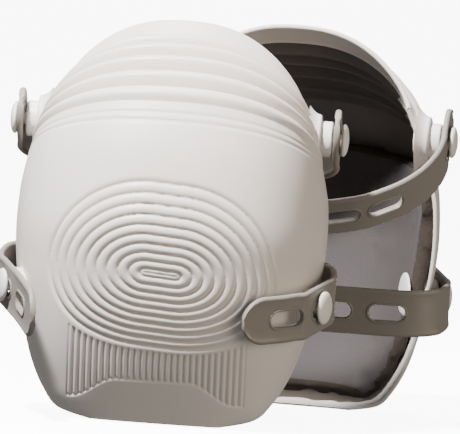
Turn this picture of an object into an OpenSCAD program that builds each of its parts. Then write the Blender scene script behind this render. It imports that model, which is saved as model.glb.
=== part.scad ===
// Pair of knee pads for roofing work. Each pad is a flexible moulded shell with a folding
// bellows and a thigh cuff, a two-layer liner, and two rubber straps on mushroom studs.
// Each pad is drawn in its own frame: X across, -Y forwards out of the knee, +Z up the leg.

/* [Shell] */
// Wall thickness of the moulded shell
shell_t = 2.6; // [2:0.1:3]
// Height of the folds in the bellows, centre line to crest
fold_h = 2.6; // [1:0.1:3]
// Number of folds in the bellows
folds = 5; // [4:1:6]

/* [Liner] */
// Thickness of the foam liner
foam_t = 8; // [6:0.5:9]
// Thickness of the facing bonded to the foam
facing_t = 1.6; // [1:0.1:2]

/* [Straps] */
// Width of a strap
strap_w = 30; // [28:1:32]
// Thickness of a strap
strap_t = 3.4; // [3:0.1:3.6]
// Length of an adjustment slot, end to end
slot_l = 23; // [18:1:24]
// Width of an adjustment slot
slot_w = 10.4; // [9.6:0.2:12]

/* [Studs] */
// Radius of a stud's round head
head_r = 10; // [9:0.5:11]
// Radius of a stud's collar, which stands off the shell
collar_r = 11; // [10:0.5:12]
// Radius of a stud's shank
shank_r = 3.6; // [3:0.1:4]

/* [Pair] */
// How far the front pad is turned to the left
front_turn = 3; // [0:1:20]
// How far the opening of the rear pad is turned to the left
rear_turn = 8; // [0:1:20]
// Rear pad's place to the right of the front pad
rear_x = 70; // [60:1:110]
// Rear pad's place behind the front pad
rear_y = 98; // [96:1:140]

/* [Hidden] */

white = "#e6e0da";
grey = "#6f6a64";
dark = "#3d3833";
smooth = 64;

// Centre line of the shell from the bottom edge to the top rim: [forwards, up]
centre = [[62, 0], [70, 14], [79, 30], [88, 50], [96, 72], [102, 96], [105, 120], [102, 145],
    [95, 172], [83, 196], [70, 206], [55, 215], [40, 223], [25, 229.5], [10, 235], [-4, 243]];
// Edge of the shell beside each centre point: [half width, forwards, up]
edge = [[40, 56, 0], [60, 46, 5], [70, 37, 15], [79, 28, 31], [86, 19, 52], [92, 11, 80], [95, 5, 108],
    [94.5, 0, 133], [92, -2, 147], [89.3, -3.5, 157], [86.6, -4.5, 163.5], [84.4, -5.5, 170], [82.4, -7, 176.5],
    [80.2, -8.5, 182.5], [77.8, -10, 188], [74.5, -13, 197]];
bellows_row = 9;
cuff_row = 14;
last_row = 15;
roundness = 0.83;
// How sharply each row rises to its middle; larger is more pointed
rise = [for (v = [0:15]) v < 8 ? 0.83 : 0.83 + 0.11 * (v - 8)];
columns = 30;

// Catmull-Rom value of a table of points at row v
function spline(table, v) =
    let (n = len(table) - 1, i = min(max(floor(v), 0), n - 1), t = v - i,
        a = table[max(i - 1, 0)], b = table[i], c = table[i + 1], d = table[min(i + 2, n)])
    0.5 * (2 * b + (c - a) * t + (2 * a - 5 * b + 4 * c - d) * t * t + (3 * b - a - 3 * c + d) * t * t * t);
function sign_pow(x, p) = x < 0 ? -pow(-x, p) : pow(x, p);

// Point of the shell's middle skin: u runs across from -1 to 1, v is the row
function skin(u, v) =
    let (c = spline(centre, v), e = spline(edge, v), k = max(cos(90 * u), 0), b = pow(k, roundness))
    [e[0] * sign_pow(sin(90 * u), roundness), -(e[1] + (c[0] - e[1]) * b),
        e[2] + (c[1] - e[2]) * pow(k, spline(rise, v))];
function unit(a) = a / norm(a);
function normal(u, v, d = 0.02) =
    let (a = min(u + d, 0.995), b = max(u - d, -0.995), p = min(v + d, last_row), q = max(v - d, 0))
    unit(cross(skin(a, v) - skin(b, v), skin(u, p) - skin(u, q)));
// Height of a fold at row v, fading towards the ears where the folds meet
function fold(u, v) = v <= bellows_row || v >= cuff_row ? 0 :
    -fold_h * cos(360 * folds * (v - bellows_row) / (cuff_row - bellows_row)) * pow(max(cos(90 * u), 0), 0.6)
    * sin(180 * (v - bellows_row) / (cuff_row - bellows_row)) ^ 0.3;
function lifted(u, v, d) = skin(u, v) + normal(u, v) * (fold(u, v) + d);

// Closed sheet between two depths under the skin, over the columns us and rows vs
module sheet(us, vs, outer, inner) {
    n = len(us);
    m = len(vs);
    points = [for (d = [outer, inner]) for (v = vs) for (u = us) lifted(u, v, d)];
    function at(side, j, i) = side * n * m + j * n + i;
    faces = concat(
        [for (j = [0:m - 2]) for (i = [0:n - 2]) for (f = [
            [at(0, j, i), at(0, j + 1, i + 1), at(0, j, i + 1)], [at(0, j, i), at(0, j + 1, i), at(0, j + 1, i + 1)],
            [at(1, j, i), at(1, j, i + 1), at(1, j + 1, i + 1)], [at(1, j, i), at(1, j + 1, i + 1), at(1, j + 1, i)]
        ]) f],
        [for (i = [0:n - 2]) for (f = [
            [at(0, 0, i), at(0, 0, i + 1), at(1, 0, i + 1)], [at(0, 0, i), at(1, 0, i + 1), at(1, 0, i)],
            [at(0, m - 1, i), at(1, m - 1, i + 1), at(0, m - 1, i + 1)],
            [at(0, m - 1, i), at(1, m - 1, i), at(1, m - 1, i + 1)]
        ]) f],
        [for (j = [0:m - 2]) for (f = [
            [at(0, j, 0), at(1, j + 1, 0), at(0, j + 1, 0)], [at(0, j, 0), at(1, j, 0), at(1, j + 1, 0)],
            [at(0, j, n - 1), at(0, j + 1, n - 1), at(1, j + 1, n - 1)],
            [at(0, j, n - 1), at(1, j + 1, n - 1), at(1, j, n - 1)]
        ]) f]);
    polyhedron(points, faces);
}
function across(skip) = [for (i = [skip:columns - skip]) -1 + 2 * i / columns];
function rows(first, last, step) = [for (v = [first:step:last + step / 100]) min(v, last)];

module cup() color(white) sheet(across(0), rows(0, bellows_row, 0.5), 0, -shell_t);
module bellows() color(white) sheet(across(0), rows(bellows_row, cuff_row, 0.2), 0, -shell_t);
module cuff() color(white) sheet(across(0), rows(cuff_row, last_row, 0.25), 0, -shell_t);

liner_gap = 0.4;
foam_top = shell_t + liner_gap;
facing_top = foam_top + foam_t + 0.05;
liner_first = 0.5;
liner_last = 8;
module foam() color(dark) sheet(across(2), rows(liner_first, liner_last, 0.5), -foam_top, -foam_top - foam_t);
module facing() color(grey)
    sheet(across(2), rows(liner_first, liner_last, 0.5), -facing_top, -facing_top - facing_t);

// Studs: places of the collars' feet and how far the lower ones lean forwards
ear_z = 177;
ear_x = 87;
low_x = 85;
low_y = -47;
low_z = 77;
low_lean = 20;
collar_h = 7;
play = 1.3;
strap_at = collar_h + play + strap_t / 2;
head_at = collar_h + strap_t + 2 * play;
head_h = 4;
edge_r = 1.6;

// One stud along +Z, its collar's foot at the origin, its tail reaching down to the washer
module stud(tail) color(white) rotate_extrude($fn = smooth) union() {
    translate([0, -tail]) square([shank_r, tail + head_at + 1]);
    square([collar_r, collar_h]);
    translate([0, head_at]) square([head_r, head_h - edge_r]);
    translate([0, head_at]) square([head_r - edge_r, head_h]);
    translate([head_r - edge_r, head_at + head_h - edge_r]) circle(edge_r, $fn = 32);
}
module washer(tail, r, t) color(white) translate([0, 0, -tail]) difference() {
    cylinder(h = t, r = r, $fn = smooth);
    translate([0, 0, -1]) cylinder(h = t + 2, r = shank_r, $fn = smooth);
}
module upper_place(side) translate([side * ear_x, 0, ear_z]) rotate([0, side * 90, 0]) children();
module lower_place(side) translate([side * low_x, low_y, low_z])
    rotate([0, 0, side * (-low_lean)]) rotate([0, side * 90, 0]) children();
module both_upper() for (side = [-1, 1]) upper_place(side) children();
module both_lower() for (side = [-1, 1]) lower_place(side) children();

upper_tail = 10;
lower_tail = 15;
module upper_studs() both_upper() stud(upper_tail);
module lower_studs() both_lower() stud(lower_tail);
module upper_washers() both_upper() washer(upper_tail, 9, 2.4);
module lower_washers() both_lower() washer(lower_tail, 14, 2.4);

// Ears: round bosses moulded on the shell's upper corners, under the collars
ear_t = 7;
ear_r = 15;
module ears() color(white) for (side = [-1, 1]) translate([side * (ear_x - ear_t / 2), 0, ear_z])
    rotate([0, 90, 0]) difference() {
        cylinder(h = ear_t, r = ear_r, center = true, $fn = smooth);
        cylinder(h = ear_t + 1, r = shank_r, center = true, $fn = smooth);
    }

// Straps: a band along a route in plan, [x, y], with round ends and slots
route_steps = 8;
function path(pts) = [for (i = [0:(len(pts) - 1) * route_steps]) spline(pts, i / route_steps)];
function along(p, i) = unit(p[min(i + 1, len(p) - 1)] - p[max(i - 1, 0)]);
function side_of(p, i) = let (a = along(p, i)) [-a[1], a[0]];
module at_point(p, i) translate([p[i][0], p[i][1], 0]) rotate([0, 0, atan2(along(p, i)[1], along(p, i)[0])])
    children();
module slot_cutter() rotate([90, 0, 0]) {
    for (x = [-1, 1]) translate([x * (slot_l - slot_w) / 2, 0, 0])
        cylinder(h = 12, d = slot_w, center = true, $fn = smooth);
    cube([slot_l - slot_w, slot_w, 12], center = true);
}
// What is left of a square end is an arc a hair wider than the strap, so it meets the edges at an angle
end_r = strap_w / 2 + 0.1;
module end_cutter() translate([0.1, 0, 0]) difference() {
    translate([-10, 0, 0]) cube([20, 12, strap_w + 4], center = true);
    rotate([90, 0, 0]) cylinder(h = 14, r = end_r, center = true, $fn = smooth);
}
module strap(pts, slots) color(grey) difference() {
    p = path(pts);
    last = len(p) - 1;
    q = concat([p[0] - along(p, 0) * (strap_w / 2 + 2)], p, [p[last] + along(p, last) * (strap_w / 2 + 2)]);
    linear_extrude(strap_w, center = true) polygon(concat(
        [for (i = [0:last + 2]) q[i] + side_of(p, max(min(i - 1, last), 0)) * strap_t / 2],
        [for (i = [last + 2:-1:0]) q[i] - side_of(p, max(min(i - 1, last), 0)) * strap_t / 2]));
    at_point(p, 0) end_cutter();
    at_point(p, last) rotate([0, 0, 180]) end_cutter();
    for (i = slots) at_point(p, i) slot_cutter();
}

function mirrored(p) = [-p[0], p[1]];
// A route given from one end to the middle, completed by its mirror image
function both(half) = concat(half, [for (i = [len(half) - 2:-1:0]) mirrored(half[i])]);

// Upper straps, drawn about the line between the two upper studs
strap_x = ear_x + strap_at;
front_upper_half = [[strap_x, -8], [strap_x, 4], [strap_x, 15], [89, 24], [68, 27], [35, 28], [0, 28]];
rear_upper_half = [[strap_x, -8], [strap_x, 4], [strap_x, 13], [93.5, 26], [84.5, 41], [69, 55], [45, 67],
    [0, 75]];
module upper_strap(half, slots, lift) translate([0, 0, ear_z]) rotate([lift, 0, 0]) strap(both(half), slots);

// Lower straps, drawn about the line between the two lower studs, with tails wrapped forwards
low_out = low_x + strap_at * cos(low_lean);
low_fwd = -strap_at * sin(low_lean);
function tail_point(d) = [low_out - d * sin(low_lean), low_fwd - d * cos(low_lean)];
// The right tail bends round the shell, the left one springs clear of it
front_right_tail = [[64, -39.7], [70, -35.8], [76, -31.9], [82.5, -26]];
rear_right_tail = [[67, -43.5], [73, -39.6], [79, -35.2], [84.5, -28.5]];
left_tail = [[-77, -57], [-80.5, -45], [-84, -33.5]];
side_half = [for (d = [20, 11, 0, -11, -20]) tail_point(d)];
back_half = [[101.5, 31], [97, 46], [80, 56], [45, 58], [0, 58]];
function lower_route(right) = concat(right, both(concat(side_half, back_half)), [for (i = [2:-1:0]) left_tail[i]]);
module lower_strap(right, slots, lift) translate([0, low_y, low_z]) rotate([lift, 0, 0])
    strap(lower_route(right), slots);

// The two pads in the row's frame
shift = [-36.5, -45.9, 0];
module front_pad() translate(shift) rotate([0, 0, -front_turn]) children();
module rear_pad() translate(shift + [rear_x, rear_y, 0]) rotate([0, 0, 180 - rear_turn]) children();

front_upper_slots = [6, 32, 39, 57, 64, 90];
rear_upper_slots = [6, 41, 49, 63, 71, 106];
lower_slots = [17, 48, 91, 98, 110, 117, 160, 188];
front_upper_lift = -30;
rear_upper_lift = -45;
front_lower_lift = 12;
rear_lower_lift = -9;
front_pad() cup();  // front_shell
front_pad() bellows();  // front_bellows
front_pad() cuff();  // front_thigh_cuff
front_pad() foam();  // front_foam_liner
front_pad() facing();  // front_liner_facing
front_pad() ears();  // front_ears
front_pad() upper_studs();  // front_upper_studs
front_pad() lower_studs();  // front_lower_studs
front_pad() upper_washers();  // front_upper_washers
front_pad() lower_washers();  // front_lower_washers
front_pad() upper_strap(front_upper_half, front_upper_slots, front_upper_lift);  // front_upper_strap
front_pad() lower_strap(front_right_tail, lower_slots, front_lower_lift);  // front_lower_strap
rear_pad() cup();  // rear_shell
rear_pad() bellows();  // rear_bellows
rear_pad() cuff();  // rear_thigh_cuff
rear_pad() foam();  // rear_foam_liner
rear_pad() facing();  // rear_liner_facing
rear_pad() ears();  // rear_ears
rear_pad() upper_studs();  // rear_upper_studs
rear_pad() lower_studs();  // rear_lower_studs
rear_pad() upper_washers();  // rear_upper_washers
rear_pad() lower_washers();  // rear_lower_washers
rear_pad() upper_strap(rear_upper_half, rear_upper_slots, rear_upper_lift);  // rear_upper_strap
rear_pad() lower_strap(rear_right_tail, lower_slots, rear_lower_lift);  // rear_lower_strap
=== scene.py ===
"""Looks for the pair of knee pads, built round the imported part. Lengths inside are in millimetres in each
pad's own frame (X across, -Y forwards, +Z up the leg) and become metres in the shared frame when placed."""
import math

import bmesh
import bpy
from mathutils.kdtree import KDTree
import numpy as np
from mathutils import Matrix, Vector


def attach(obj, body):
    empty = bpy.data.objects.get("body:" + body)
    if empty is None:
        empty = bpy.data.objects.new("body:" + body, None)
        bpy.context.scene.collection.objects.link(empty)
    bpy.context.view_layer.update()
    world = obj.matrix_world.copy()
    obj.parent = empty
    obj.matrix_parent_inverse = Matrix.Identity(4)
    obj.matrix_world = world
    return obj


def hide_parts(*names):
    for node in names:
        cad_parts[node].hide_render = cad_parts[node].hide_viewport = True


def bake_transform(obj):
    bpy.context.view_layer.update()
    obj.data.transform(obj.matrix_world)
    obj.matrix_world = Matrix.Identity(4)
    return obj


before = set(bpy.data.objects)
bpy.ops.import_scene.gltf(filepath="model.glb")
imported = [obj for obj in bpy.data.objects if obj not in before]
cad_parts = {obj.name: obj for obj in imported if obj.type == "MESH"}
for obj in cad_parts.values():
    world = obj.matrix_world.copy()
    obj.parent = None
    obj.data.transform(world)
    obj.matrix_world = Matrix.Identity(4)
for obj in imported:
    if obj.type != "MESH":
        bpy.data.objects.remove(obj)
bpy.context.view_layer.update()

# ---------------------------------------------------------------- shape shared with the CAD part
CENTRE = [[62, 0], [70, 14], [79, 30], [88, 50], [96, 72], [102, 96], [105, 120], [102, 145], [95, 172],
          [83, 196], [70, 206], [55, 215], [40, 223], [25, 229.5], [10, 235], [-4, 243]]
EDGE = [[40, 56, 0], [60, 46, 5], [70, 37, 15], [79, 28, 31], [86, 19, 52], [92, 11, 80], [95, 5, 108],
        [94.5, 0, 133], [92, -2, 147], [89.3, -3.5, 157], [86.6, -4.5, 163.5], [84.4, -5.5, 170],
        [82.4, -7, 176.5], [80.2, -8.5, 182.5], [77.8, -10, 188], [74.5, -13, 197]]
RISE = [[0.83 if v < 8 else 0.83 + 0.11 * (v - 8)] for v in range(16)]
ROUND = 0.83
BELLOWS, CUFF, LAST = 9.0, 14.0, 15.0
WALL, FOLD, FOLDS = 2.6, 2.6, 5
FRONT_TURN, REAR_TURN = 3.0, 8.0
SHIFT = Vector((-36.5, -45.9, 0.0))
REAR = Vector((70.0, 98.0, 0.0))
EAR = (87.0, 0.0, 177.0)
LOW = (85.0, -47.0, 77.0)
LEAN = 20.0
COLLAR_H, PLAY, STRAP_T, STRAP_W = 7.0, 1.3, 3.4, 30.0
STRAP_AT = COLLAR_H + PLAY + STRAP_T / 2
HEAD_AT = COLLAR_H + STRAP_T + 2 * PLAY
SLOT_L, SLOT_W = 23.0, 10.4
LIFTS = {"front_upper": -30.0, "rear_upper": -45.0, "front_lower": 12.0, "rear_lower": -9.0}


def spline(table, v):
    """Points on the smooth curve through a table's rows; v counts rows."""
    t = np.asarray(table, float)
    n = len(t) - 1
    v = np.asarray(v, float)
    i = np.clip(np.floor(v).astype(int), 0, n - 1)
    f = (v - i)[:, None]
    a, b, c, d = t[np.maximum(i - 1, 0)], t[i], t[i + 1], t[np.minimum(i + 2, n)]
    return 0.5 * (2 * b + (c - a) * f + (2 * a - 5 * b + 4 * c - d) * f * f
                  + (3 * b - a - 3 * c + d) * f ** 3)


def skin(us, vs):
    """Middle skin of the shell as an array (rows, columns, 3)."""
    c, e, q = spline(CENTRE, vs), spline(EDGE, vs), spline(RISE, vs)
    s = np.sin(np.pi / 2 * us)
    s = np.sign(s) * np.abs(s) ** ROUND
    k = np.maximum(np.cos(np.pi / 2 * us), 0)
    b = (k ** ROUND)[None]
    return np.stack([e[:, :1] * s[None], -(e[:, 1:2] + (c[:, :1] - e[:, 1:2]) * b),
                     e[:, 2:3] + (c[:, 1:2] - e[:, 2:3]) * k[None] ** q], -1)


def normals(p):
    """Unit normals of a grid of points, pointing away from the leg."""
    n = np.cross(np.gradient(p, axis=1), np.gradient(p, axis=0))
    return n / np.maximum(np.linalg.norm(n, axis=2, keepdims=True), 1e-9)


def even(count, low, high, along):
    """Parameters from low to high, evenly spaced by length along a curve."""
    t = np.linspace(low, high, 1500)
    p = along(t)
    s = np.concatenate([[0], np.cumsum(np.linalg.norm(np.diff(p, axis=0), axis=1))])
    return np.interp(np.linspace(0, s[-1], count), s, t)


def columns(count, limit=1.0):
    return even(count, -limit, limit, lambda t: skin(t, np.array([5.0]))[0])


def rows(count, low, high):
    return even(count, low, high, lambda t: skin(np.array([0.0]), t)[:, 0])


# ---------------------------------------------------------------- mesh helpers
def grid_faces(m, n, flip=False, start=0):
    i = np.arange(m - 1)[:, None] * n + np.arange(n - 1)[None] + start
    q = np.stack([i, i + 1, i + n + 1, i + n], -1).reshape(-1, 4)
    return q[:, ::-1] if flip else q


def make(name, verts, faces, mats, index=None, smooth=True):
    mesh = bpy.data.meshes.new(name)
    mesh.from_pydata([tuple(v) for v in np.asarray(verts)], [], [tuple(int(a) for a in f) for f in faces])
    for m in mats:
        mesh.materials.append(m)
    if index is not None:
        mesh.polygons.foreach_set("material_index", np.asarray(index, np.int32))
    mesh.polygons.foreach_set("use_smooth", np.full(len(mesh.polygons), smooth))
    mesh.update()
    o = bpy.data.objects.new(name, mesh)
    bpy.context.scene.collection.objects.link(o)
    return o


def tube(path, r, sides=12, closed=False):
    """Vertices and faces of a round tube along a path; an open one ends flat."""
    p = np.asarray(path, float)
    n = len(p)
    t = np.roll(p, -1, 0) - np.roll(p, 1, 0) if closed else np.gradient(p, axis=0)
    t /= np.linalg.norm(t, axis=1, keepdims=True)
    up = np.array([0.3, 0.2, 1.0])
    a = np.cross(t, up)
    a /= np.linalg.norm(a, axis=1, keepdims=True)
    b = np.cross(t, a)
    w = np.linspace(0, 2 * np.pi, sides, endpoint=False)
    v = p[:, None] + r * (np.cos(w)[None, :, None] * a[:, None] + np.sin(w)[None, :, None] * b[:, None])
    faces = []
    for i in range(n if closed else n - 1):
        j = (i + 1) % n
        for k in range(sides):
            m = (k + 1) % sides
            faces.append((i * sides + k, j * sides + k, j * sides + m, i * sides + m))
    v = v.reshape(-1, 3)
    if not closed:
        faces.append(tuple(range(sides)))
        faces.append(tuple((n - 1) * sides + k for k in range(sides))[::-1])
    return v, faces


def lathe(profile, sides=72):
    """Vertices and faces of a body turned about +Z from (radius, height) points, with flat ends."""
    w = np.linspace(0, 2 * np.pi, sides, endpoint=False)
    v = [(r * math.cos(a), r * math.sin(a), h) for r, h in profile for a in w]
    f = []
    for i in range(len(profile) - 1):
        for k in range(sides):
            m = (k + 1) % sides
            f.append((i * sides + k, i * sides + m, (i + 1) * sides + m, (i + 1) * sides + k))
    f.append(tuple(range(sides))[::-1])
    f.append(tuple((len(profile) - 1) * sides + k for k in range(sides)))
    return np.array(v), f


def turn(axis, deg):
    return Matrix.Rotation(math.radians(deg), 4, axis)


def pad_matrix(pad):
    m = Matrix.Translation(SHIFT + (REAR if pad == "rear" else Vector()))
    return Matrix.Scale(0.001, 4) @ m @ turn("Z", -FRONT_TURN if pad == "front" else 180 - REAR_TURN)


def moved(v, m):
    a = np.array(m)
    return np.asarray(v) @ a[:3, :3].T + a[:3, 3]


def join(parts):
    verts, faces, count = [], [], 0
    for v, f in parts:
        verts.append(np.asarray(v))
        faces += [tuple(int(a) + count for a in q) for q in f]
        count += len(v)
    return np.concatenate(verts), faces


# ---------------------------------------------------------------- materials
def material(name, colour, rough, spec=0.5, bump=0.0, scale=400.0, tint=0.0, sheen=0.0, subsurface=0.0):
    m = bpy.data.materials.new(name)
    m.use_nodes = True
    nt = m.node_tree
    b = nt.nodes["Principled BSDF"]
    b.inputs["Base Color"].default_value = (*colour, 1)
    b.inputs["Roughness"].default_value = rough
    b.inputs["Specular IOR Level"].default_value = spec
    b.inputs["Sheen Weight"].default_value = sheen
    b.inputs["Subsurface Weight"].default_value = subsurface
    b.inputs["Subsurface Scale"].default_value = 0.002
    co = nt.nodes.new("ShaderNodeTexCoord")
    if bump:
        noise = nt.nodes.new("ShaderNodeTexNoise")
        noise.inputs["Scale"].default_value = scale
        noise.inputs["Detail"].default_value = 4
        nt.links.new(co.outputs["Object"], noise.inputs["Vector"])
        bm = nt.nodes.new("ShaderNodeBump")
        bm.inputs["Strength"].default_value = bump
        bm.inputs["Distance"].default_value = 0.0005
        nt.links.new(noise.outputs["Fac"], bm.inputs["Height"])
        nt.links.new(bm.outputs["Normal"], b.inputs["Normal"])
    if tint:
        soft = nt.nodes.new("ShaderNodeTexNoise")
        soft.inputs["Scale"].default_value = 14
        soft.inputs["Detail"].default_value = 2
        nt.links.new(co.outputs["Object"], soft.inputs["Vector"])
        ramp = nt.nodes.new("ShaderNodeMapRange")
        ramp.inputs["From Min"].default_value = 0.35
        ramp.inputs["From Max"].default_value = 0.65
        ramp.inputs["To Min"].default_value = rough - tint
        ramp.inputs["To Max"].default_value = rough + tint
        nt.links.new(soft.outputs["Fac"], ramp.inputs["Value"])
        nt.links.new(ramp.outputs["Result"], b.inputs["Roughness"])
    return m


SHELL = material("shell_plastic", (0.70, 0.65, 0.60), 0.42, 0.4, 0.05, 900, 0.05, 0, 0.04)
# painted shade: a dark colour standing for the deep shadow inside the pleats and at the top of the cup,
# where the plastic is the shell's own colour
PLEAT_SHADE_PAINT = material("pleat_painted_shade", (0.16, 0.14, 0.13), 0.4, 0.5, 0.1, 600)
STRAP = material("strap_rubber", (0.225, 0.205, 0.180), 0.5, 0.4, 0.12, 700, 0.05)
STUD = material("stud_plastic", (0.78, 0.75, 0.69), 0.33, 0.5, 0.03, 600)
FOAM = material("liner_foam", (0.045, 0.037, 0.031), 0.95, 0.1, 0.9, 500)
FACING = material("liner_facing", (0.056, 0.049, 0.048), 0.72, 0.3, 0.35, 900, 0.05, 0.05)


# ---------------------------------------------------------------- shell cup with rings and ribs
RINGS, RING_DEEP, RING_TILT = 10, 1.7, 4.0
RING_Z, RING_HALF = 93.0, 9.0           # height and half length of the slit inside the rings
RING_ACROSS, RING_DOWN = 6.9, 4.9       # ring pitch sideways and downwards
RING_UP, RING_GROW = 4.6, 0.13          # upwards the pitch starts at the first and grows with the second
SLIT_HALF, SLIT_DEEP = 0.8, 0.9
RIB_PITCH, RIB_DEEP, RIB_HALF = 3.75, 1.5, 54.0
PATCH_Z, PATCH_DROP, PATCH_MID = 27.0, 13, -1.5
PATCH_LINE, TOP_LINE = 0.45, 0.55       # depth of the patch's edge line and of those below the pleats
TOP_LINES, TOP_LINE_HALF = (8.70, 8.50), 0.045
CUP_RIM_R, TOP_RIM_R = 1.4, 1.6
CUP_SHADE_V, CUP_SHADE_U = 7.7, 0.86    # painted shade: the inside above and within these is painted dark for the shadow deep in the cup
# painted shade: the inside of the pleats below this share of their height and within this width is painted
# dark for their shadow
TOP_SHADE_T, TOP_SHADE_U = 0.985, 0.60
PLEAT_TALL, PLEAT_SHARP, PLEAT_PEAK = 2.0, 0.65, 0.3
PLEAT_SIDE, PLEAT_END = 0.45, 0.3       # powers of the fade to the sides and to both ends


def groove(n, power=0.55):
    """0 on the ridges, 1 in the narrow grooves half way between whole numbers."""
    return 1 - np.abs(np.cos(np.pi * n)) ** power


def step(x, low, high):
    t = np.clip((x - low) / (high - low), 0, 1)
    return t * t * (3 - 2 * t)


def relief(p, vs):
    """How far the moulded grooves move the outer skin along its normal, in millimetres."""
    du = np.linalg.norm(np.diff(p, axis=1), axis=2)
    a = np.concatenate([np.zeros((len(p), 1)), np.cumsum(du, 1)], 1)
    a = a - a[:, a.shape[1] // 2][:, None]
    dv = np.linalg.norm(np.diff(p, axis=0), axis=2)
    s = np.concatenate([np.zeros((1, p.shape[1])), np.cumsum(dv, 0)], 0)
    s0 = np.array([np.interp(RING_Z, p[:, j, 2], s[:, j]) for j in range(p.shape[1])])
    b = s - s0[None]
    tilt = math.tan(math.radians(RING_TILT))
    a, b = a - b * tilt, b + a * tilt
    up = (-RING_UP + np.sqrt(RING_UP ** 2 + 4 * RING_GROW * np.maximum(b, 0))) / (2 * RING_GROW)
    n_b = np.where(b > 0, up, -b / RING_DOWN)
    n_a = np.maximum(np.abs(a) - RING_HALF, 0) / RING_ACROSS
    n = np.sqrt(n_a ** 2 + n_b ** 2)
    rings = groove(n) * step(n, RINGS + 0.05, RINGS - 0.1) * RING_DEEP
    slit = np.exp(-(b / SLIT_HALF) ** 2) * step(np.abs(a), RING_HALF + 3, RING_HALF) * SLIT_DEEP
    x, z = p[..., 0], p[..., 2]
    under = step(n, RINGS + 0.25, RINGS + 0.5) * (b < 0) * step(np.abs(x), RIB_HALF + 0.3, RIB_HALF - 0.3)
    patch = PATCH_Z - PATCH_DROP * step(np.abs(x - PATCH_MID), 22, 50)
    ribs = groove(x / RIB_PITCH, 0.8) * under * step(z, patch - 0.2, patch + 0.6) * RIB_DEEP
    edge = PATCH_LINE * np.exp(-((z - patch) / 0.7) ** 2) * (np.abs(x) < RIB_HALF)
    lines = TOP_LINE * sum(np.exp(-((vs[:, None] - v) / TOP_LINE_HALF) ** 2) for v in TOP_LINES)
    return -(rings + slit + ribs + edge + lines)


def cup(pad):
    us, vs = columns(430), rows(300, 0.0, BELLOWS)
    p = skin(us, vs)
    outer = p + normals(p) * relief(p, vs)[..., None]
    ui, vi = columns(90), rows(60, 0.0, BELLOWS)
    q = skin(ui, vi)
    inner = q - normals(q) * WALL
    m = pad_matrix(pad)
    parts = [(outer.reshape(-1, 3), grid_faces(len(vs), len(us))),
             (inner.reshape(-1, 3), grid_faces(len(vi), len(ui), True))]
    e = skin(ui, np.linspace(0.12, BELLOWS, 90))
    mid = e - normals(e) * WALL / 2
    path = np.concatenate([mid[::-1, 0], mid[0, 1:-1], mid[:, -1]])
    parts.append(tube(path, CUP_RIM_R))
    v, f = join(parts)
    mu, mv = 0.5 * (ui[:-1] + ui[1:]), 0.5 * (vi[:-1] + vi[1:])
    # painted shade: these inner faces get the dark colour that stands for the shadow at the top of the cup
    painted_shade = (mv > CUP_SHADE_V)[:, None] & (np.abs(mu) < CUP_SHADE_U)[None]
    index = [0] * len(parts[0][1]) + list(painted_shade.astype(int).ravel()) + [0] * len(parts[2][1])
    return make(pad + "_shell", moved(v, m), f, [SHELL, PLEAT_SHADE_PAINT], index)


def fold(us, vs):
    """Height of the pleats over the skin, in millimetres."""
    t = (vs - BELLOWS) / (CUFF - BELLOWS)
    inside = (t > 0) & (t < 1)
    t = np.clip(t, 0, 1)
    # each pleat leans downwards: a short rise from its lower crease, then a long fall to its upper one
    phase = (FOLDS * t) % 1.0
    phase = np.where(phase < PLEAT_PEAK, phase / PLEAT_PEAK * 0.5,
                     0.5 + (phase - PLEAT_PEAK) / (1 - PLEAT_PEAK) * 0.5)
    ridge = 2 * np.abs(np.sin(np.pi * phase)) ** PLEAT_SHARP - 1
    fade = np.maximum(np.cos(np.pi / 2 * us), 0) ** PLEAT_SIDE
    tall = np.where(inside, ridge * PLEAT_TALL * FOLD * np.sin(np.pi * t) ** PLEAT_END, 0)
    return tall[:, None] * fade[None]


def top(pad):
    us, vs = columns(220), rows(230, BELLOWS, LAST)
    p = skin(us, vs)
    n = normals(p)
    h = fold(us, vs)
    outer = p + n * h[..., None]
    inner = p + n * (h - WALL)[..., None]
    fo, fi = grid_faces(len(vs), len(us)), grid_faces(len(vs), len(us), True, len(vs) * len(us))
    t = (0.5 * (vs[:-1] + vs[1:]) - BELLOWS) / (CUFF - BELLOWS)
    mid_u = 0.5 * (us[:-1] + us[1:])
    # painted shade: the inside of the pleats gets the dark colour that stands for their shadow; the strip
    # by the cuff's rim stays shell white
    painted_shade = (t < TOP_SHADE_T)[:, None] & (np.abs(mid_u) < TOP_SHADE_U)[None]
    index = [0] * len(fo) + list(painted_shade.astype(int).ravel())
    mid = 0.5 * (outer + inner)
    rim = np.concatenate([mid[:, 0], mid[-1, 1:-1], mid[::-1, -1]])
    tv, tf = tube(rim, TOP_RIM_R)
    both = np.concatenate([outer.reshape(-1, 3), inner.reshape(-1, 3)])
    v, f = join([(both, list(fo) + list(fi)), (tv, tf)])
    index += [0] * len(tf)
    return make(pad + "_top", moved(v, pad_matrix(pad)), f, [SHELL, PLEAT_SHADE_PAINT], index)


# ---------------------------------------------------------------- liner cushion
LINER_OUT, LINER_IN = 3.1, 12.4             # depths of its two sides below the skin
LINER_U, LINER_V = 0.867, (0.5, 8.0)
FACING_U, FACING_V = 0.835, (0.8, 7.85)     # where the facing ends
FACING_NEAR, FACING_PULL = 3.6, 4.0
FACING_GRID, FACING_LINE = 200, 500         # points it is looked up with
VOXEL, PUFF, CLOTH_FRAMES = 0.0042, 0.0012, 20


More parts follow.
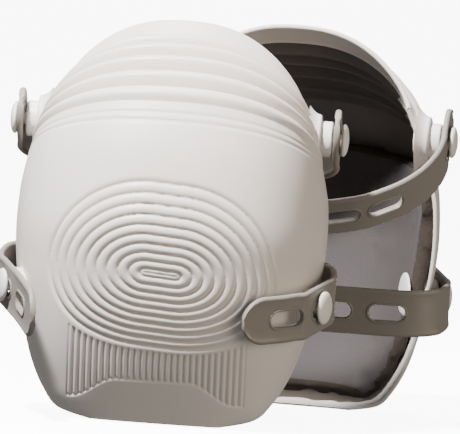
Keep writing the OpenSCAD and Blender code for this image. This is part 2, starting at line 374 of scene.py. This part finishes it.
def liner(pad):
    us, vs = columns(46, LINER_U), rows(44, *LINER_V)
    p = skin(us, vs)
    n = normals(p)
    outer, inner = p - n * LINER_OUT, p - n * LINER_IN
    m, k = len(vs), len(us)
    fo, fi = grid_faces(m, k), grid_faces(m, k, True, m * k)
    ring = list(range(k)) + [i * k + k - 1 for i in range(1, m)]
    ring += [(m - 1) * k + j for j in range(k - 2, -1, -1)] + [i * k for i in range(m - 2, 0, -1)]
    side = [(ring[i], ring[i] + m * k, ring[(i + 1) % len(ring)] + m * k, ring[(i + 1) % len(ring)])
            for i in range(len(ring))]
    v = np.concatenate([outer.reshape(-1, 3), inner.reshape(-1, 3)])
    o = make(pad + "_liner", moved(v, pad_matrix(pad)), list(fo) + list(fi) + side, [FACING, FOAM])
    bpy.context.view_layer.objects.active = o
    rm = o.modifiers.new("remesh", "REMESH")
    rm.mode, rm.voxel_size = "VOXEL", VOXEL
    apply(o)
    start = coords(o)
    cl = o.modifiers.new("cloth", "CLOTH")
    cl.settings.use_pressure = True
    cl.settings.uniform_pressure_force = 4
    cl.settings.effector_weights.gravity = 0
    cl.settings.tension_stiffness = 40
    cl.settings.compression_stiffness = 40
    cl.point_cache.frame_end = CLOTH_FRAMES
    for f in range(1, CLOTH_FRAMES + 1):
        bpy.context.scene.frame_set(f)
    end = coords(o.evaluated_get(bpy.context.evaluated_depsgraph_get()))
    o.modifiers.clear()
    bpy.context.scene.frame_set(1)
    d = end - start
    far = np.linalg.norm(d, axis=1, keepdims=True)
    d *= np.minimum(1, PUFF / np.maximum(far, 1e-9))
    o.data.vertices.foreach_set("co", (start + d).ravel())
    o.data.update()
    sub = o.modifiers.new("sub", "SUBSURF")
    sub.levels = sub.render_levels = 1
    apply(o)
    paint_liner(o, pad)
    return o


def coords(o):
    c = np.empty(len(o.data.vertices) * 3)
    o.data.vertices.foreach_get("co", c)
    return c.reshape(-1, 3)


def face_out(o):
    """Turns every face outwards, as the boolean needs."""
    bm = bmesh.new()
    bm.from_mesh(o.data)
    bmesh.ops.recalc_face_normals(bm, faces=bm.faces)
    bm.to_mesh(o.data)
    bm.free()


def apply(o):
    d = bpy.context.evaluated_depsgraph_get()
    mesh = bpy.data.meshes.new_from_object(o.evaluated_get(d))
    o.modifiers.clear()
    old = o.data
    o.data = mesh
    bpy.data.meshes.remove(old)


def tree_of(points):
    tree = KDTree(len(points))
    for i, q in enumerate(points):
        tree.insert(q, i)
    tree.balance()
    return tree


def paint_liner(o, pad):
    """The facing covers the side towards the leg; the cut edge and back are foam."""
    back = np.array(pad_matrix(pad).inverted())
    c = np.empty(len(o.data.polygons) * 3)
    o.data.polygons.foreach_get("center", c)
    local = moved(c.reshape(-1, 3), back)
    us, vs = np.linspace(-LINER_U, LINER_U, FACING_GRID), np.linspace(*LINER_V, FACING_GRID)
    p = skin(us, vs)
    tree = tree_of((p - normals(p) * LINER_IN).reshape(-1, 3))
    inside = []
    for c in local:
        _, i, far = tree.find(c)
        u, v = us[i % FACING_GRID], vs[i // FACING_GRID]
        inside.append(far < FACING_NEAR and abs(u) < FACING_U and FACING_V[0] < v < FACING_V[1])
    inside = np.array(inside)
    # the line where the facing ends is pulled straight
    line = []
    side_v, top_u = np.linspace(*FACING_V, FACING_LINE), np.linspace(-FACING_U, FACING_U, FACING_LINE)
    for us_, vs_ in ((np.array([-FACING_U, FACING_U]), side_v), (top_u, np.array(FACING_V))):
        g = skin(us_, vs_)
        if len(vs_) == 2:
            w = np.stack([normals(skin(us_, np.array([v - 0.01, v + 0.01])))[0] for v in vs_])
        else:
            w = np.stack([normals(skin(np.array([u - 0.01, u + 0.01]), vs_))[:, 0] for u in us_], 1)
        line += list(zip((g - w * LINER_IN).reshape(-1, 3), w.reshape(-1, 3)))
    edge_tree = tree_of([q for q, _ in line])
    touch = np.zeros((len(o.data.vertices), 2), bool)
    for poly, a in zip(o.data.polygons, inside):
        touch[list(poly.vertices), int(a)] = True
    where, out = coords(o), np.array(pad_matrix(pad))
    for k in np.flatnonzero(touch.all(1)):
        c = moved(where[k], back)
        q, i, far = edge_tree.find(c)
        if far < FACING_PULL:
            move = np.array(q) - c
            move -= line[i][1] * (move @ line[i][1])
            where[k] = moved(c + move, out)
    o.data.vertices.foreach_set("co", where.ravel())
    o.data.materials.clear()
    o.data.materials.append(FACING)
    o.data.materials.append(FOAM)
    o.data.polygons.foreach_set("material_index", np.where(inside, 0, 1).astype(np.int32))
    o.data.polygons.foreach_set("use_smooth", np.ones(len(o.data.polygons), bool))
    o.data.update()


# ---------------------------------------------------------------- studs, ears and washers
def arc(r0, h0, r, start, end, n=8):
    """(radius, height) points of an arc about (r0, h0), from one angle to the other."""
    return [(r0 + r * math.cos(math.radians(a)), h0 + r * math.sin(math.radians(a)))
            for a in np.linspace(start, end, n)]


SHANK_R, COLLAR_R = 3.6, 11.0
UPPER_WASHER = [(3.7, -10), (8.4, -10), (9, -9.4), (9, -8), (8.6, -7.6), (3.7, -7.6)]
LOWER_WASHER = [(3.0, -15.4)] + [(13.9 * math.cos(t), -13.6 - 1.9 * math.sin(t))
                                 for t in np.linspace(1.4, 0, 10)] + [(13.9, -12.8), (3.0, -12.6)]
BOSS = [(20, -8), (17.6, -6), (16, -4), (15.2, -2.6)] + arc(13.4, -1.6, 1.6, 0, 90) + [(COLLAR_R, 0.0)]


def stud_parts(tail):
    collar = [(9.0, -2.0), (COLLAR_R, 0.0)] + arc(9.6, COLLAR_H - 1.4, 1.4, 0, 90) + [(SHANK_R, COLLAR_H)]
    shank = [(SHANK_R, -tail), (SHANK_R, HEAD_AT + 1)]
    head = [(SHANK_R, HEAD_AT)] + arc(8.9, HEAD_AT + 1.1, 1.1, -90, 0, 6)
    head += [(10.0 * math.cos(t), HEAD_AT + 1.1 + 3.1 * math.sin(t)) for t in np.linspace(0.05, 1.5, 14)]
    return [lathe(collar), lathe(shank, 40), lathe(head)]


def upper_place(side):
    return Matrix.Translation((side * EAR[0], EAR[1], EAR[2])) @ turn("Y", side * 90)


def lower_place(side):
    at = Matrix.Translation((side * LOW[0], LOW[1], LOW[2]))
    return at @ turn("Z", -side * LEAN) @ turn("Y", side * 90)


def hardware(pad):
    m = pad_matrix(pad)
    sets = [("upper_studs", upper_place, stud_parts(10), STUD),
            ("lower_studs", lower_place, stud_parts(15), STUD),
            ("upper_washers", upper_place, [lathe(UPPER_WASHER)], STUD),
            ("lower_washers", lower_place, [lathe(LOWER_WASHER)], STUD),
            ("ears", upper_place, [lathe(BOSS)], SHELL)]
    for name, place, parts, mat in sets:
        v, f = join([(moved(pv, m @ place(side)), pf) for side in (-1, 1) for pv, pf in parts])
        o = make(pad + "_" + name, v, f, [mat])
        o.data.set_sharp_from_angle(angle=math.radians(40))
        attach(o, pad + "_pad")
        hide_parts(pad + "_" + name)


# ---------------------------------------------------------------- straps
def tail_point(d):
    """A point of the lower band's middle line where it lies on its stud, d forwards of the stud."""
    a = math.radians(LEAN)
    return [LOW[0] + STRAP_AT * math.cos(a) - d * math.sin(a), -STRAP_AT * math.sin(a) - d * math.cos(a)]


SX = EAR[0] + STRAP_AT
ROUTES = {
    "front_upper": [[SX, -8], [SX, 4], [SX, 15], [89, 24], [68, 27], [35, 28], [0, 28]],
    "rear_upper": [[SX, -8], [SX, 4], [SX, 13], [93.5, 26], [84.5, 41], [69, 55], [45, 67], [0, 75]],
    "lower": [tail_point(d) for d in (20, 11, 0, -11, -20)]
             + [[101.5, 31], [97, 46], [80, 56], [45, 58], [0, 58]],
}
RIGHT_TAILS = {"front": [[64, -39.7], [70, -35.8], [76, -31.9], [82.5, -26]],
               "rear": [[67, -43.5], [73, -39.6], [79, -35.2], [84.5, -28.5]]}
LEFT_TAIL = [[-84, -33.5], [-80.5, -45], [-77, -57]]
SLOTS = {"front_upper": [6, 32, 39, 57, 64, 90], "rear_upper": [6, 41, 49, 63, 71, 106],
         "lower": [17, 48, 91, 98, 110, 117, 160, 188]}
STEPS, FINE = 8, 5
END_ROWS = 26
LIP_OUT, LIP_AT, LIP_R = 0.9, 1.35, 0.75
CUT_HALF = 6.0


def strap(pad, which):
    key = pad + "_upper" if which == "upper" else "lower"
    half = np.array(ROUTES[key], float)
    pts = np.concatenate([half, (half[:-1] * [-1, 1])[::-1]])
    if which == "lower":
        pts = np.concatenate([RIGHT_TAILS[pad], pts, LEFT_TAIL])
    t = np.linspace(0, len(pts) - 1, (len(pts) - 1) * STEPS * FINE + 1)
    p = spline(pts, t)
    first, last = p[0] - p[1], p[-1] - p[-2]
    ext = STRAP_W / 2 * np.sin(np.linspace(np.pi / 2, 0.02, END_ROWS))[:, None]
    head = p[0] + ext * first / np.linalg.norm(first)
    foot = p[-1] + ext[::-1] * last / np.linalg.norm(last)
    path = np.concatenate([head, p, foot])
    end = np.sqrt(np.maximum(1 - (ext[:, 0] / (STRAP_W / 2)) ** 2, 0.0004))
    width = np.concatenate([end, np.ones(len(p)), end[::-1]])
    tan = np.gradient(path, axis=0)
    tan /= np.linalg.norm(tan, axis=1, keepdims=True)
    nor = np.stack([-tan[:, 1], tan[:, 0]], 1)
    # half the band's section: heights as shares of the half width, and its half thickness there
    zs = np.array([1, .985, .95, .9, .84, .78, .70])
    th = np.array([0, .85, 1.5, 1.85, 1.85, 1.6, 1.4])
    zz = np.concatenate([zs, [.35, 0, -.35], -zs[::-1]])
    tt = np.concatenate([th, [1.4] * 3, th[::-1]])
    ring_z = np.concatenate([zz, zz[-2:0:-1]])
    ring_t = np.concatenate([tt, -tt[-2:0:-1]])
    n, k = len(path), len(ring_z)
    w = width[:, None]
    thin = np.minimum(1, width * 4)[:, None]
    x = path[:, :1] + nor[:, :1] * ring_t[None] * thin
    y = path[:, 1:] + nor[:, 1:] * ring_t[None] * thin
    z = ring_z[None] * STRAP_W / 2 * w
    v = np.stack([x, y, z], -1).reshape(-1, 3)
    f = [(i * k + j, i * k + (j + 1) % k, (i + 1) * k + (j + 1) % k, (i + 1) * k + j)
         for i in range(n - 1) for j in range(k)]
    f += [tuple(range(k))[::-1], tuple((n - 1) * k + j for j in range(k))]
    lift = LIFTS[pad + "_" + which]
    base = Matrix.Translation((0, 0, EAR[2]) if which == "upper" else (0, LOW[1], LOW[2]))
    m = pad_matrix(pad) @ base @ turn("X", lift)
    o = make(pad + "_" + which + "_strap", moved(v, m), f, [STRAP])
    lips = []
    cutters = []
    for i in SLOTS[key]:
        c = spline(pts, np.array([i / STEPS]))[0]
        a = spline(pts, np.array([min(i + 1, (len(pts) - 1) * STEPS) / STEPS]))[0]
        b = spline(pts, np.array([max(i - 1, 0) / STEPS]))[0]
        d = a - b
        local = Matrix.Translation((c[0], c[1], 0)) @ turn("Z", math.degrees(math.atan2(d[1], d[0])))
        h = (SLOT_L - SLOT_W) / 2
        w = np.linspace(-np.pi / 2, np.pi / 2, 13)
        cap = np.stack([h + SLOT_W / 2 * np.cos(w), SLOT_W / 2 * np.sin(w)], 1)
        loop = np.concatenate([cap, -cap])
        q = len(loop)
        cv = np.concatenate([np.stack([loop[:, 0], np.full(q, s), loop[:, 1]], 1)
                             for s in (-CUT_HALF, CUT_HALF)])
        cf = [(j, (j + 1) % q, q + (j + 1) % q, q + j) for j in range(q)]
        cf += [tuple(range(q))[::-1], tuple(range(q, 2 * q))]
        cutters.append((moved(cv, m @ local), cf))
        big = loop * (1 + LIP_OUT / np.linalg.norm(loop, axis=1))[:, None]
        for s in (-LIP_AT, LIP_AT):
            lv, lf = tube(np.stack([big[:, 0], np.full(q, s), big[:, 1]], 1), LIP_R, 8, True)
            # the lip follows the band's curve
            lv[:, 1] += path_offset(pts, i, lv[:, 0], local)
            lips.append((moved(lv, m @ local), lf))
    cv, cf = join(cutters)
    cut = make("cutter", cv, cf, [STRAP])
    face_out(o)
    face_out(cut)
    mod = o.modifiers.new("slots", "BOOLEAN")
    mod.operation, mod.solver, mod.object = "DIFFERENCE", "EXACT", cut
    apply(o)
    bpy.data.objects.remove(cut)
    lv, lf = join(lips)
    ov = coords(o)
    of = [tuple(pp.vertices) for pp in o.data.polygons]
    v, f = join([(ov, of), (lv, lf)])
    bpy.data.objects.remove(o)
    o = make(pad + "_" + which + "_strap_look", v, f, [STRAP])
    o.data.set_sharp_from_angle(angle=math.radians(38))
    body = pad + "_" + which + "_strap"
    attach(o, body)
    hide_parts(body)


def path_offset(pts, i, xs, local):
    """How far the band's middle line lies off the slot's flat frame at each distance along it."""
    t = np.clip(np.linspace(i / STEPS - 2.2, i / STEPS + 2.2, 60), 0, len(pts) - 1)
    p = spline(pts, t)
    inv = np.array(local.inverted())
    q = np.concatenate([p, np.zeros((len(p), 1))], 1) @ inv[:3, :3].T + inv[:3, 3]
    o = np.argsort(q[:, 0])
    return np.interp(xs, q[o, 0], q[o, 1])


# ---------------------------------------------------------------- build both pads
for pad in ("front", "rear"):
    o = cup(pad)
    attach(o, pad + "_pad")
    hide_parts(pad + "_shell")
    o = top(pad)
    # the seam where the pleats meet the cup rises towards the front: nothing at or below it moves
    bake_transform(o)
    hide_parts(pad + "_bellows", pad + "_thigh_cuff")
    o = liner(pad)
    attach(o, pad + "_pad")
    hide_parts(pad + "_foam_liner", pad + "_liner_facing")
    hardware(pad)
    strap(pad, "upper")
    strap(pad, "lower")

# ---------------------------------------------------------------- stage, lights and camera
WHITE = material("stage_white", (0.97, 0.97, 0.97), 0.9, 0.0)


def glow(m, strength):
    b = m.node_tree.nodes["Principled BSDF"]
    b.inputs["Emission Color"].default_value = (1, 1, 1, 1)
    b.inputs["Emission Strength"].default_value = strength
    return m


STAGE_HALF, COVE_AT, COVE_R, STAGE_HIGH = 30.0, 29.0, 0.6, 20.0


def backdrop():
    """A floor that curves up into a wall far behind the pads."""
    prof = [(-STAGE_HALF, 0.0)] + [(COVE_AT + COVE_R * math.sin(t), COVE_R - COVE_R * math.cos(t))
                                   for t in np.linspace(0, np.pi / 2, 12)]
    prof += [(COVE_AT + COVE_R, STAGE_HIGH)]
    v = [(x, y, z - 0.0005) for y, z in prof for x in (-STAGE_HALF, STAGE_HALF)]
    f = [(2 * i, 2 * i + 1, 2 * i + 3, 2 * i + 2) for i in range(len(prof) - 1)]
    return make("backdrop", v, f, [glow(WHITE, 9.0)])


wall = backdrop()
wall.visible_diffuse = wall.visible_glossy = wall.visible_shadow = False


def area(name, at, to, size, watts, colour=(1, 1, 1)):
    d = bpy.data.lights.new(name, "AREA")
    d.size, d.energy, d.color = size, watts, colour
    o = bpy.data.objects.new(name, d)
    bpy.context.scene.collection.objects.link(o)
    o.location = at
    o.rotation_euler = (Vector(to) - Vector(at)).to_track_quat("-Z", "Y").to_euler()


area("key", (-0.50, -0.66, 1.22), (0, 0, 0.12), 0.12, 84, (1.0, 0.985, 0.99))
area("top", (-0.15, 0.40, 1.40), (0, 0, 0.12), 0.16, 16, (1.0, 0.99, 0.98))
area("fill", (1.1, -0.9, 0.25), (0, 0, 0.10), 0.9, 9, (1.0, 0.84, 0.66))

world = bpy.data.worlds.new("studio")
world.use_nodes = True
world.node_tree.nodes["Background"].inputs["Color"].default_value = (1, 1, 1, 1)
world.node_tree.nodes["Background"].inputs["Strength"].default_value = 0.24
bpy.context.scene.world = world

AZ, EL, ROLL, DIST = 0.0, 3.0, 4.0, 4.5
TARGET = Vector((-0.0020, -0.03, 0.1243))
cam = bpy.data.cameras.new("camera")
cam.sensor_width, cam.lens = 36.0, 572.0
co = bpy.data.objects.new("camera", cam)
bpy.context.scene.collection.objects.link(co)
az, el = math.radians(AZ), math.radians(EL)
away = Vector((math.sin(az) * math.cos(el), -math.cos(az) * math.cos(el), math.sin(el)))
co.location = TARGET + away * DIST
co.rotation_euler = ((-away).to_track_quat("-Z", "Y").to_matrix()
                     @ Matrix.Rotation(math.radians(ROLL), 3, "Z")).to_euler()
bpy.context.scene.camera = co
